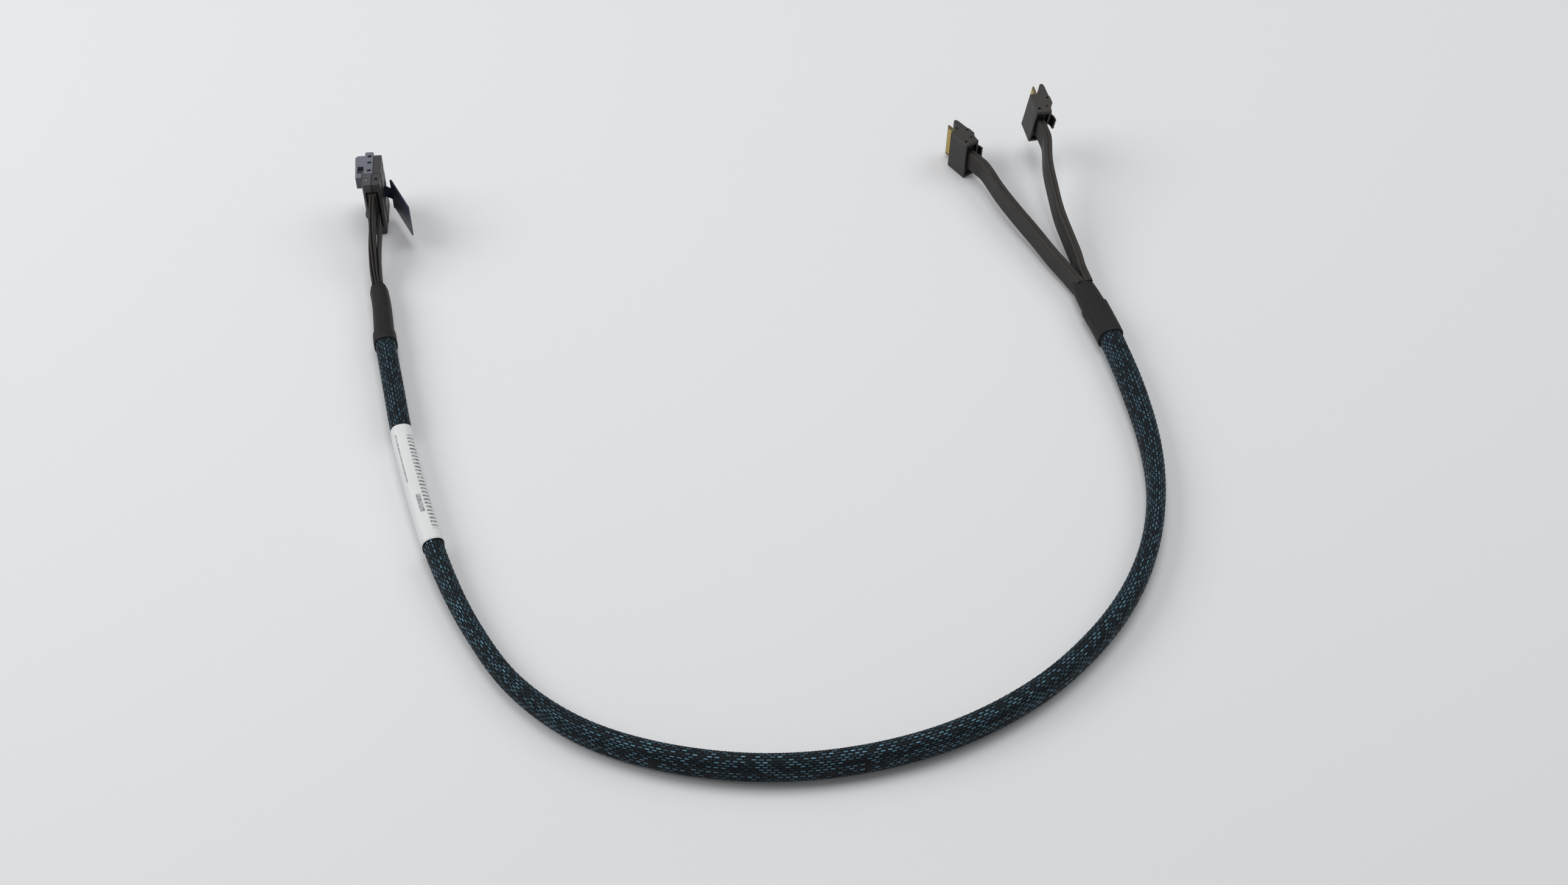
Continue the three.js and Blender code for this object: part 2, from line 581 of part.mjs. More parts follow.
function pullTab() {
  const foot = plateInner + PLATE_THICKNESS + PIN_GAP;
  const mid = WIDE_WIDTH / 2;
  const lean = THREE.MathUtils.degToRad(TAB_LEAN);
  const [neckX, neckY] = TAB_NECK_END;
  const endX = neckX + TAB_LENGTH * Math.sin(lean);
  const endY = neckY - TAB_LENGTH * Math.cos(lean);
  const acrossX = TAB_THICKNESS * Math.cos(lean);
  const acrossY = TAB_THICKNESS * Math.sin(lean);
  const strip = [
    [foot, TAB_FOOT_Y[0]],
    [foot, TAB_FOOT_Y[1]],
    [foot + TAB_THICKNESS, TAB_FOOT_Y[1]],
    [foot + TAB_THICKNESS, TAB_FOOT_Y[0] + 0.4],
    [neckX + acrossX, neckY + acrossY],
    [endX + acrossX, endY + acrossY],
    [endX, endY],
    [neckX, neckY],
  ];
  const outline = strip.reverse();
  const tall = prism(outline, mid - TAB_HEIGHT / 2, mid + TAB_HEIGHT / 2);
  const neckHalf = TAB_NECK_HEIGHT / 2;
  const shoulder = neckY + 0.4;
  const above = block([0, shoulder, mid + neckHalf], [20, 30, mid + 20]);
  const below = block([0, shoulder, mid - 20], [20, 30, mid - neckHalf]);
  return cut(tall, above, below);
}

function widePlug(prefix, place) {
  const plug = new THREE.Group();
  const cardSize = [wideCardFront, WIDE_MOUTH_FLOOR + 0.8, wideCardZ0, wideCardZ1];
  plug.add(
    named(`${prefix}_front_housing`, wideHousing(), greyPlastic),
    named(`${prefix}_latch_cover`, latchCover(), darkGreyPlastic),
    named(`${prefix}_left_shell`, shellHalf(-1), greyPlastic),
    named(`${prefix}_right_shell`, shellHalf(1), darkGreyPlastic),
    ...shellRivets(prefix),
    named(`${prefix}_inner_mould`, wideMould(), rubber),
    named(`${prefix}_paddle_card`, paddleCard(WIDE_CARD_X, WIDE_PAD_COUNT, ...cardSize), gold),
    named(`${prefix}_latch_plate`, latchPlate(), steel),
    named(`${prefix}_pull_tab`, pullTab(), navyPlastic),
  );
  return placed(plug, place);
}

// A route whose section stands upright all the way: x is level and across it, y is up
class UprightRoute extends THREE.CatmullRomCurve3 {
  constructor(points) {
    super(points.map((p) => new THREE.Vector3(...p)), false, "centripetal");
    this.arcLengthDivisions = 2000;
  }

  computeFrenetFrames(segments) {
    return uprightFrames(this, segments);
  }
}

// A route that also carries its width and height, as a trunk that is broader in some places than in others
class SizedRoute extends UprightRoute {
  constructor(knots) {
    super(knots.map(([x, y, z]) => [x, y, z]));
    const sizes = knots.map(([, , , width, height]) => new THREE.Vector3(width, height, 0));
    this.sizes = new THREE.CatmullRomCurve3(sizes, false, "catmullrom", 0.5);
  }

  sizeAt(share) {
    const { x: width, y: height } = this.sizes.getPoint(this.getUtoTmapping(share));
    return { width, height };
  }
}

function uprightFrames(curve, segments) {
  const frames = { tangents: [], normals: [], binormals: [] };
  for (let i = 0; i <= segments; i++) {
    const { tangent, normal, binormal } = uprightFrame(curve, i / segments);
    frames.tangents.push(tangent);
    frames.normals.push(normal);
    frames.binormals.push(binormal);
  }
  return frames;
}

function uprightFrame(curve, share) {
  const tangent = curve.getTangentAt(share, new THREE.Vector3()).normalize();
  const normal = new THREE.Vector3(0, 0, 1).cross(tangent).normalize();
  return { tangent, normal, binormal: tangent.clone().cross(normal) };
}

// An oval section that touches its full width and height; less roundness makes it boxier
const OVAL_CORNERS = 12;

function ovalSection(width, height, roundness = 0.8) {
  const points = [];
  for (let i = 0; i < OVAL_CORNERS; i++) {
    const angle = (i * 2 * Math.PI) / OVAL_CORNERS;
    const c = Math.cos(angle);
    const s = Math.sin(angle);
    const x = Math.sign(c) * Math.pow(Math.abs(c), roundness);
    const y = Math.sign(s) * Math.pow(Math.abs(s), roundness);
    points.push(new THREE.Vector2((x * width) / 2, (y * height) / 2));
  }
  return points;
}

// A closed body lofted through oval sections of a sized route, grown by a wall on all sides
function loft(route, from, to, steps, grow = 0) {
  const positions = [];
  const index = [];
  for (let i = 0; i <= steps; i++) {
    const share = from + ((to - from) * i) / steps;
    const centre = route.getPointAt(share, new THREE.Vector3());
    const { normal, binormal } = uprightFrame(route, share);
    const { width, height } = route.sizeAt(share);
    for (const corner of ovalSection(width + 2 * grow, height + 2 * grow)) {
      const point = centre.clone().addScaledVector(normal, corner.x).addScaledVector(binormal, corner.y);
      positions.push(...point.toArray());
    }
  }
  const last = steps * OVAL_CORNERS;
  for (let j = 0; j < OVAL_CORNERS; j++) {
    const next = (j + 1) % OVAL_CORNERS;
    for (let ring = 0; ring < last; ring += OVAL_CORNERS) {
      const ahead = ring + OVAL_CORNERS;
      index.push(ring + j, ring + next, ahead + next, ring + j, ahead + next, ahead + j);
    }
    if (j > 0 && next > 0) {
      index.push(0, next, j, last, last + j, last + next);
    }
  }
  const geometry = new THREE.BufferGeometry();
  geometry.setAttribute("position", new THREE.Float32BufferAttribute(positions, 3));
  geometry.setIndex(index);
  return geometry;
}

// A flat ribbon's section: two long faces and rounded edges
function ribbonSection(thickness, height) {
  const x = thickness / 2;
  const y = height / 2;
  const corner = x * 0.6;
  const half = [[x, -y + corner], [x, y - corner], [x - corner, y], [corner - x, y]];
  return [...half, ...half.map(([a, b]) => [-a, -b])].map(([a, b]) => new THREE.Vector2(a, b));
}

function sweep(curve, section, steps) {
  return new THREE.ExtrudeGeometry(new THREE.Shape(section), { steps, extrudePath: curve, bevelEnabled: false });
}

// The trunk: heat-shrink, braided sleeve with its label and band, and the Y with its collar
function trunkPieces() {
  const route = new SizedRoute(TRUNK_KNOTS);
  const length = route.getLength();
  const sleeveStart = LEFT_SHRINK_LENGTH;
  const sleeveEnd = length - Y_SHRINK_LENGTH;
  const piece = (from, to, steps, grow) => loft(route, from / length, to / length, steps, grow);
  const wrap = (from, to, steps, wall) =>
    cut(piece(from, to, steps, WRAP_GAP + wall), piece(from - 1, Math.min(to + 1, length), steps, WRAP_GAP));
  const [labelFrom, labelTo] = LABEL_SPAN.map((s) => sleeveStart + s);
  return [
    named("left_heat_shrink", piece(0, sleeveStart - SEAT_GAP, 6), rubber),
    named("braided_sleeve", piece(sleeveStart, sleeveEnd, SLEEVE_STEPS), braid),
    named("left_shrink_band", wrap(sleeveStart, sleeveStart + BAND_LENGTH, 1, BAND_WALL), rubber),
    named("label_wrap", wrap(labelFrom, labelTo, 10, LABEL_WALL), paper),
    named("y_collar", wrap(sleeveEnd - COLLAR_LENGTH, sleeveEnd, 3, COLLAR_WALL), rubber),
    named("y_heat_shrink", piece(sleeveEnd + SEAT_GAP, length, 4), rubber),
  ];
}

// The wide plug's four flat ribbons: an upper pair inside and a lower pair outside
function leadRibbons() {
  const middle = new UprightRoute(LEAD_ROUTE.map(([x, y]) => [x, y, 0]));
  const ribbons = [];
  for (const [i, offset] of [-1.5, -0.5, 0.5, 1.5].entries()) {
    const heights = Math.abs(offset) < 1 ? UPPER_RIBBON_Z : LOWER_RIBBON_Z;
    const points = LEAD_ROUTE.map(([x, y], k) => {
      const tangent = middle.getTangent(k / (LEAD_ROUTE.length - 1));
      const across = offset * RIBBON_PITCH;
      return [x - tangent.y * across, y + tangent.x * across, heights[k]];
    });
    const section = ribbonSection(RIBBON_THICKNESS, RIBBON_HEIGHT);
    ribbons.push(named(`lead_ribbon_${i + 1}`, sweep(new UprightRoute(points), section, 10), rubber));
  }
  return ribbons;
}

function legs() {
  const section = ribbonSection(LEG_THICKNESS, LEG_HEIGHT);
  return [
    named("near_leg", sweep(new UprightRoute(NEAR_LEG_ROUTE), section, 14), rubber),
    named("far_leg", sweep(new UprightRoute(FAR_LEG_ROUTE), section, 16), rubber),
  ];
}

const cable = new THREE.Group();
cable.add(
  widePlug("wide", WIDE_PLACE),
  narrowPlug("near", NEAR_PLACE),
  narrowPlug("far", FAR_PLACE),
  ...leadRibbons(),
  ...trunkPieces(),
  ...legs(),
);

export default cable;
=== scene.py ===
import math

import bpy
import numpy as np
from mathutils import Matrix, Vector


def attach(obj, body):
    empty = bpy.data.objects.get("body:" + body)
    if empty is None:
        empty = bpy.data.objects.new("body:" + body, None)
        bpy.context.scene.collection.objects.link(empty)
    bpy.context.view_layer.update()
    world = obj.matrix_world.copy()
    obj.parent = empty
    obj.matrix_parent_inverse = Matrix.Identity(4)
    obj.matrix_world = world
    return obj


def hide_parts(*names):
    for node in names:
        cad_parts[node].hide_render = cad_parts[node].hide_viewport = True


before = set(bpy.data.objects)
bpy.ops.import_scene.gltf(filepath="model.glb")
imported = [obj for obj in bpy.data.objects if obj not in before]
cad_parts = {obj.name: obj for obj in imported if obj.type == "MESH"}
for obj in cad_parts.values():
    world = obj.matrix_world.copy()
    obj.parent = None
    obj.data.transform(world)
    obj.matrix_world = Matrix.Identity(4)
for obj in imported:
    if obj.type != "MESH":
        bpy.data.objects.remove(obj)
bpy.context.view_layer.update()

for thing in bpy.context.selected_objects:
    thing.select_set(False)

# Camera
# It looks down on the table from the bowed side of the U. The point of the table in the middle of the
# picture, the distance and the height angle come from fitting the plugs and the trunk to the picture.
LOOK_AT = Vector((0.0416, -0.1732, 0.0))
CAMERA_DISTANCE = 0.9541
CAMERA_ELEVATION = math.radians(49)
CAMERA_ROLL = 0.03
LENS_LENGTH = 46.82
SENSOR_WIDTH = 36

camera_data = bpy.data.cameras.new("camera")
camera_data.lens = LENS_LENGTH
camera_data.sensor_width = SENSOR_WIDTH
camera = bpy.data.objects.new("camera", camera_data)
backwards = Vector((0, -math.cos(CAMERA_ELEVATION), math.sin(CAMERA_ELEVATION)))
tilt = Matrix.Rotation(math.pi / 2 - CAMERA_ELEVATION, 4, "X") @ Matrix.Rotation(CAMERA_ROLL, 4, "Z")
camera.matrix_world = Matrix.Translation(LOOK_AT + CAMERA_DISTANCE * backwards) @ tilt
bpy.context.collection.objects.link(camera)
bpy.context.scene.camera = camera

# Table top and light
# A plain pale sheet, lit by a soft box overhead, one on each side and an even grey surround, so that
# shadows fall softly forwards and the near side of the trunk stays dark.
MM = 0.001
TABLE_WIDTH = 6
TABLE_TOP = -0.02 * MM
TABLE_COLOUR = (0.735, 0.742, 0.757)
TABLE_MOTTLE = 1.015
SURROUND = 0.26
# Each soft box: its place, its width and its power
SOFT_BOXES = [((-1.5, 0.0, 1.2), 1.2, 18.0), ((0.04, 0.25, 1.9), 0.9, 13.5), ((1.3, 0.5, 1.5), 1.2, 8.5)]

bpy.ops.mesh.primitive_plane_add(size=TABLE_WIDTH, location=(0, 0, TABLE_TOP))
table = bpy.context.object
table.name = "table_top"
bpy.ops.object.transform_apply(location=True, rotation=True, scale=True)

scene = bpy.context.scene
scene.view_settings.view_transform = "Standard"
scene.world = bpy.data.worlds.new("surround")
scene.world.use_nodes = True
surround = scene.world.node_tree.nodes["Background"]
surround.inputs["Color"].default_value = (1, 1, 1, 1)
surround.inputs["Strength"].default_value = SURROUND
for box_number, (place, width, power) in enumerate(SOFT_BOXES, start=1):
    lamp = bpy.data.lights.new(f"soft_box_{box_number}", "AREA")
    lamp.size = width
    lamp.energy = power
    holder = bpy.data.objects.new(lamp.name, lamp)
    holder.location = place
    holder.rotation_euler = (LOOK_AT - Vector(place)).to_track_quat("-Z", "Y").to_euler()
    bpy.context.collection.objects.link(holder)


class Value:
    """A number or a colour inside a finish, on which sums are written plainly."""

    def __init__(self, finish, socket):
        self.finish = finish
        self.socket = socket

    def apply(self, operation, *others):
        return self.finish.node("Math", {"operation": operation}, dict(enumerate((self, *others))))

    def __add__(self, other):
        return self.apply("ADD", other)

    def __sub__(self, other):
        return self.apply("SUBTRACT", other)

    def __rsub__(self, other):
        return self.finish.node("Math", {"operation": "SUBTRACT"}, {0: other, 1: self})

    def __mul__(self, other):
        return self.apply("MULTIPLY", other)

    def __gt__(self, other):
        return self.apply("GREATER_THAN", other)

    def __lt__(self, other):
        return self.apply("LESS_THAN", other)

    __radd__ = __add__
    __rmul__ = __mul__


class Finish:
    """A material with one glossy shader, whose nodes are all made by one method."""

    def __init__(self, name, **fixed):
        self.material = bpy.data.materials.new(name)
        self.material.use_nodes = True
        self.tree = self.material.node_tree
        self.shader = self.tree.nodes["Principled BSDF"]
        self.feed(fixed)

    def put(self, socket, value):
        if isinstance(value, Value):
            self.tree.links.new(value.socket, socket)
        elif socket.type == "RGBA":
            socket.default_value = (*value, 1)
        else:
            socket.default_value = value

    def node(self, kind, settings=None, inputs=None, output=0):
        made = self.tree.nodes.new(f"ShaderNode{kind}")
        for name, setting in (settings or {}).items():
            setattr(made, name, setting)
        for key, value in (inputs or {}).items():
            self.put(made.inputs[key], value)
        return Value(self, made.outputs[output])

    def feed(self, values):
        for name, value in values.items():
            self.put(self.shader.inputs[name.replace("_", " ")], value)

    def mix(self, share, first, second):
        return self.node("Mix", {"data_type": "RGBA"}, {0: share, 6: first, 7: second}, output=2)

    def noise(self, where, scale, detail=2.0):
        """Clouds with about scale cells to a unit of where, which is a metre for an object point."""
        return self.node("TexNoise", None, {"Vector": where, "Scale": scale, "Detail": detail})

    def spread(self, value, low, high, new_low=0.0, new_high=1.0):
        """The value between low and high carried over to the new limits and held within them."""
        limits = {1: low, 2: high, 3: new_low, 4: new_high}
        return self.node("MapRange", {"clamp": True}, {0: value, **limits})

    def clouded(self, clouds, low, high):
        """Noise carried over to two limits. Nearly all of it lies between 0.3 and 0.7."""
        return self.spread(clouds, 0.3, 0.7, low, high)

    def point(self, x, y):
        return self.node("CombineXYZ", None, {0: x, 1: y})

    def object_point(self):
        return self.node("TexCoord", output=3)

    def run_point(self):
        """How far round a cord a point lies, as a share of a turn, and how far along it, in metres."""
        run = self.node("UVMap", {"uv_map": "run"})
        return [self.node("SeparateXYZ", None, {0: run}, output=axis) for axis in (0, 1)]

    def relief(self, height, depth, normal=None):
        inputs = {"Strength": 1.0, "Distance": depth, "Height": height}
        if normal is not None:
            inputs["Normal"] = normal
        self.feed({"Normal": self.node("Bump", None, inputs)})


table_finish = Finish("pale_sheet", Roughness=0.9, Specular_IOR_Level=0.1)
mottle = table_finish.noise(table_finish.object_point(), 3.0)
lighter = tuple(min(1.0, c * TABLE_MOTTLE) for c in TABLE_COLOUR)
table_finish.feed({"Base Color": table_finish.mix(mottle, TABLE_COLOUR, lighter)})
table.data.materials.append(table_finish.material)

# Braided sleeve
# A tube of black plastic yarns woven over the cores. Its floats shine as small blue dashes, partly by
# reflecting the lamps and partly by a painted blue highlight colour on a few of them.
# It is an oval that grows and shrinks along its run, with the floats raised in staggered rows.
KNOT_STEPS = 60
LEFT_SHRINK_LENGTH = 35.5 * MM
Y_SHRINK_LENGTH = 19 * MM
OVAL_FULLNESS = 0.8
SLEEVE_CORNERS = 60
FLOAT_ROWS = 30
FLOAT_PITCH = 3.0 * MM
FLOAT_RISE = 0.22 * MM
BETWEEN_ROWS = 0.25
RINGS_PER_FLOAT = 4
# From where to where a float fades out, off its middle, in shares of its pitch and of its row
FLOAT_END = (0.26, 0.36)
FLOAT_SIDE = (0.14, 0.3)
YARN_BLACK = (0.005, 0.0068, 0.0085)
# Painted highlight colour of the shining floats; the yarn itself is black
PAINTED_GLINT_BLUE = (0.1, 0.22, 0.3)
STRANDS_PER_METRE = 400
BRAID_RELIEF = 0.06 * MM
CORD_SHARP = math.radians(50)
# Each knot of the trunk: x, y and height of its middle, then the oval's width and height, in mm
TRUNK_KNOTS = [
    [-160.8, -86, 7.3, 9, 12.2], [-156.9, -99.3, 7.2, 9.2, 12.4], [-152.2, -120.8, 7.1, 9.8, 12.6],
    [-144.2, -149.7, 7, 10, 12.6], [-134.8, -182.5, 7, 10, 12.6], [-121.8, -220.3, 6.8, 9.8, 11.9],
    [-106.9, -257.4, 6.2, 9.2, 11.1], [-89.9, -288.9, 5.5, 8.4, 10.8], [-68.5, -317.4, 5.6, 8.6, 11],
    [-39.9, -338.7, 6.3, 9.4, 12.6], [-5.9, -350.6, 6.8, 9.7, 13.5], [36.1, -354.7, 6.9, 9.8, 13.8],
    [77.7, -349.3, 6.9, 9.8, 13.8], [117.1, -335.3, 6.9, 9.8, 13.8], [152.2, -312.7, 6.8, 9.8, 13.6],
    [177.3, -287.2, 6.7, 9.7, 13.4], [194.1, -262.3, 6.7, 9.3, 13.3], [205.7, -234.6, 6.7, 8.8, 13.2],
    [211.6, -205.2, 6.6, 8.6, 13], [212.1, -175.3, 6.4, 10, 12.4], [207.2, -139.8, 6.6, 11.4, 11.9],
    [198.8, -104.9, 7.2, 11.3, 11.7], [192.8, -85.9, 7.3, 11.8, 11.6], [187.1, -68.6, 7.3, 12.6, 11.6],
]


def smooth_run(knots, spacing):
    """Evenly spaced rows along a centripetal curve through the knots, with their sizes, in metres."""
    knots = np.array(knots) * MM
    padded = np.vstack([2 * knots[0] - knots[1], knots, 2 * knots[-1] - knots[-2]])
    gaps = np.sqrt(np.linalg.norm(np.diff(padded[:, :3], axis=0), axis=1))
    rows = []
    for i in range(len(knots) - 1):
        p0, p1, p2, p3 = padded[i : i + 4]
        a, b, c = gaps[i : i + 3]
        slope1 = ((p1 - p0) / a - (p2 - p0) / (a + b) + (p2 - p1) / b) * b
        slope2 = ((p2 - p1) / b - (p3 - p1) / (b + c) + (p3 - p2) / c) * b
        t = np.linspace(0, 1, KNOT_STEPS, endpoint=False)[:, None]
        rows.append(
            p1 + slope1 * t + (3 * (p2 - p1) - 2 * slope1 - slope2) * t**2
            + (2 * (p1 - p2) + slope1 + slope2) * t**3
        )
    fine = np.vstack([*rows, knots[-1:]])
    along = np.concatenate([[0], np.cumsum(np.linalg.norm(np.diff(fine[:, :3], axis=0), axis=1))])
    at = np.linspace(0, along[-1], round(along[-1] / spacing) + 1)
    return np.stack([np.interp(at, along, column) for column in fine.T], axis=1), at


def cross_frames(centres):
    """The level and the upward direction across a run at each of its points."""
    ahead = np.gradient(centres, axis=0)
    ahead /= np.linalg.norm(ahead, axis=1)[:, None]
    level = np.cross([0, 0, 1], ahead)
    level /= np.linalg.norm(level, axis=1)[:, None]
    return level[:, None], np.cross(ahead, level)[:, None]


def oval_rings(run, corners, grow):
    """Oval rings across a run that carries its width and height, grown on all sides or at each corner."""
    level, upward = cross_frames(run[:, :3])
    turn = np.arange(corners) * 2 * math.pi / corners
    round_x = np.sign(np.cos(turn)) * np.abs(np.cos(turn)) ** OVAL_FULLNESS
    round_y = np.sign(np.sin(turn)) * np.abs(np.sin(turn)) ** OVAL_FULLNESS
    x = (run[:, 3:4] / 2 + grow) * round_x
    y = (run[:, 4:5] / 2 + grow) * round_y
    return run[:, None, :3] + x[:, :, None] * level + y[:, :, None] * upward


def loft(name, rings, along, bore=None):
    """A tube through rings, with flat ends, or with a bore whose rings are given too."""
    count, corners = rings.shape[:2]
    here, ahead = np.arange(count - 1)[:, None] * corners, np.arange(1, count)[:, None] * corners
    near, far = np.arange(corners), np.roll(np.arange(corners), -1)
    outside = np.stack([here + near, here + far, ahead + far, ahead + near], axis=-1).reshape(-1, 4)
    faces, points = outside.tolist(), rings.reshape(-1, 3)
    last = (count - 1) * corners
    if bore is None:
        faces += [near[::-1].tolist(), (last + near).tolist()]
    else:
        inner = len(points)
        points = np.vstack([points, bore.reshape(-1, 3)])
        faces += (outside[:, ::-1] + inner).tolist()
        start_rim = np.stack([near, near + inner, far + inner, far], axis=-1)
        end_rim = np.stack([near, far, far + inner, near + inner], axis=-1) + last
        faces += start_rim.tolist() + end_rim.tolist()
    mesh = bpy.data.meshes.new(name)
    mesh.from_pydata(points.tolist(), [], faces)
    vertex = np.zeros(len(mesh.loops), int)
    mesh.loops.foreach_get("vertex_index", vertex)
    place = np.stack([(vertex % corners) / corners, along[(vertex // corners) % count]], axis=-1)
    far_side = place[: outside.size].reshape(-1, 4, 2)[:, 1:3, 0]
    far_side[far_side == 0] = 1.0
    mesh.uv_layers.new(name="run").data.foreach_set("uv", place.ravel().astype(np.float32))
    mesh.shade_smooth()
    mesh.set_sharp_from_angle(angle=CORD_SHARP)
    piece = bpy.data.objects.new(name, mesh)
    bpy.context.collection.objects.link(piece)
    return piece


def settle(piece, finish, node):
    """Gives a soft piece its finish, attaches it to the cable's body and hides the solid whose place it
    takes.
    """
    piece.data.materials.append(finish.material)
    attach(piece, "cable")
    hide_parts(node)


trunk, trunk_along = smooth_run(TRUNK_KNOTS, FLOAT_PITCH / RINGS_PER_FLOAT)
trunk_length = trunk_along[-1]
sleeve_end = trunk_length - Y_SHRINK_LENGTH


def stretch(start, end):
    """The rows of the trunk between two distances from its start, and their distances."""
    inside = (trunk_along > start) & (trunk_along < end)
    at = np.concatenate([[start], trunk_along[inside], [end]])
    return np.stack([np.interp(at, trunk_along, column) for column in trunk.T], axis=1), at


sleeve_run, sleeve_along = stretch(LEFT_SHRINK_LENGTH, sleeve_end)
corner_row = np.arange(SLEEVE_CORNERS) * FLOAT_ROWS / SLEEVE_CORNERS
staggered = (np.round(corner_row) % 2) * 0.5
swell = 0.5 + 0.5 * np.cos(2 * math.pi * (sleeve_along[:, None] / FLOAT_PITCH + staggered))
sleeve_rise = FLOAT_RISE * (np.where(corner_row % 1 == 0, swell, BETWEEN_ROWS) - 1)
braided_sleeve = loft("sleeve", oval_rings(sleeve_run, SLEEVE_CORNERS, sleeve_rise), sleeve_along)

braid = Finish("black_braid", Specular_IOR_Level=0.12)
around, along = braid.run_point()
row_place = around * FLOAT_ROWS + 0.5
row = row_place.apply("FLOOR")
cell = along * (1 / FLOAT_PITCH) + row.apply("MODULO", 2.0) * 0.5 + 0.5
float_number = cell.apply("FLOOR")
off_middle = (cell - float_number - 0.5).apply("ABSOLUTE")
off_row = (row_place - row - 0.5).apply("ABSOLUTE")
float_shape = braid.spread(off_middle, *FLOAT_END, 1, 0) * braid.spread(off_row, *FLOAT_SIDE, 1, 0)
# Each float has its own luck: most stay dull and a few get the painted blue highlight
float_tag = braid.point(row, float_number)
chance = braid.node("TexWhiteNoise", {"noise_dimensions": "2D"}, {"Vector": float_tag})
glint = float_shape * braid.spread(chance, 0.2, 0.97, 0.06, 1.0)
strand_place = braid.point(around * FLOAT_ROWS, along * STRANDS_PER_METRE)
strand_inputs = {"Vector": strand_place, "Scale": 1.6, "Distortion": 0.6}
strand = braid.node("TexWave", {"bands_direction": "X"}, strand_inputs)
# Painted highlight: the chosen floats take a blue base colour in place of glints on black yarn, and being
# metallic they also reflect the lamps
braid.feed({
    "Base Color": braid.mix(glint, YARN_BLACK, PAINTED_GLINT_BLUE),
    "Metallic": glint * 0.92,
    "Roughness": braid.spread(glint, 0, 1, 0.62, 0.16),
})
braid.relief(strand * 0.4 + float_shape, BRAID_RELIEF)
settle(braided_sleeve, braid, "braided_sleeve")

# Heat-shrink at the wide plug's end
# A matte black tube shrunk over the four ribbons and the end of the sleeve. Its mouth narrows on to
# the ribbons, the shape of their edges shows through it, and it ends in a thicker turned-back band.
WRAP_CORNERS = 48
WRAP_GAP = 0.2 * MM
SNUG_SHARE = 0.4
LIP_SHARE = 0.8
SEAT_GAP = 0.3 * MM
MOUTH_TAPER = 4.5 * MM
MOUTH_DRAW = 1.3 * MM
EDGE_RIBS = 8
EDGE_RIB_DEPTH = 0.16 * MM
EDGE_RIB_REACH = 24 * MM
BAND_WALL = 0.5 * MM
BAND_LENGTH = 5.6 * MM
BAND_OVERLAP = 1.2 * MM
SHRINK_DARK = (0.0115, 0.011, 0.0115)
SHRINK_DUSTY = (0.022, 0.021, 0.021)
SHRINK_RELIEF = 0.18 * MM

shrink = Finish("heat_shrink_black", Specular_IOR_Level=0.2)
where = shrink.object_point()
around, along = shrink.run_point()
wrinkle = shrink.noise(shrink.point(around * 22, along * 90), 1.0, 3.0)
grain = shrink.noise(where, 2600.0)
dust = shrink.spread(shrink.noise(where, 420.0, 4.0), 0.58, 0.75)
shrink.feed({
    "Base Color": shrink.mix(wrinkle * 0.6 + dust * 0.4, SHRINK_DARK, SHRINK_DUSTY),
    "Roughness": shrink.clouded(wrinkle, 0.5, 0.68),
})
shrink.relief(wrinkle + grain * 0.25, SHRINK_RELIEF)

corner_turn = np.arange(WRAP_CORNERS) * 2 * math.pi / WRAP_CORNERS
run, along = stretch(0, LEFT_SHRINK_LENGTH - SEAT_GAP)
opened = np.clip(along / MOUTH_TAPER, 0, 1)[:, None]
mouth = -MOUTH_DRAW * (1 - opened * opened * (3 - 2 * opened))
rib_fade = np.clip(1 - along / EDGE_RIB_REACH, 0, 1)[:, None]
ribs = EDGE_RIB_DEPTH * (np.cos(corner_turn * EDGE_RIBS) - 1) * rib_fade
left_shrink = loft("left_shrink", oval_rings(run, WRAP_CORNERS, mouth + ribs), along)
settle(left_shrink, shrink, "left_heat_shrink")


def wrap(name, start, end, wall, rise=0.0, thickness=None):
    """A tube round the trunk between two distances, with rounded lips, snug unless its wall is thin."""
    run, along = stretch(start, end)
    from_lip = np.minimum(along - start, end - along)[:, None]
    lip = np.minimum(0, np.sqrt(np.clip(from_lip * (2 * wall - from_lip), 0, None)) - wall)
    rounding = np.where(from_lip < wall, lip * LIP_SHARE, 0)
    outer = oval_rings(run, WRAP_CORNERS, WRAP_GAP + wall + rounding + rise)
    inner = WRAP_GAP * SNUG_SHARE if thickness is None else WRAP_GAP + wall - thickness + rise
    return loft(name, outer, along, bore=oval_rings(run, WRAP_CORNERS, inner))


band_span = (LEFT_SHRINK_LENGTH - BAND_OVERLAP, LEFT_SHRINK_LENGTH + BAND_LENGTH)
shrink_band = wrap("shrink_band", *band_span, BAND_WALL)
settle(shrink_band, shrink, "left_shrink_band")

# Label
# A strip of white vinyl wrapped once round the sleeve and lapped on itself, looser at its lower end.
# It carries a long bar, a short one and a ladder of even bars, all plain, and no words.
LABEL_SPAN = (62.5 * MM, 132 * MM)
LABEL_WALL = 0.4 * MM
LABEL_THICKNESS = 0.16 * MM
LABEL_LOOSE = 0.3 * MM
LAP_FROM, LAP_TO = 0.02, 0.13
LAP_STEP = 0.1 * MM
# Each bar: from where to where round the label, then from where to where along it, in shares
BARS = [(0.325, 0.352, 0.08, 0.50), (0.232, 0.278, 0.62, 0.77)]
LADDER = (0.105, 0.21, 0.1, 0.92)
LADDER_PITCH = 2.2 * MM
VINYL_GREYER = (0.64, 0.645, 0.65)
VINYL_WHITE = (0.72, 0.725, 0.73)
INK = (0.09, 0.095, 0.105)
VINYL_RELIEF = 0.2 * MM

label_start, label_end = (LEFT_SHRINK_LENGTH + s for s in LABEL_SPAN)
corner_share = np.arange(WRAP_CORNERS) / WRAP_CORNERS
lap = np.where((corner_share > LAP_FROM) & (corner_share < LAP_TO), 0.0, -LAP_STEP)
label_along = stretch(label_start, label_end)[1]
down_label = (label_along - label_start) / (label_end - label_start)
looseness = -LABEL_LOOSE * (1 - down_label**3)[:, None]
label_wrap = wrap("label", label_start, label_end, LABEL_WALL, lap + looseness, LABEL_THICKNESS)

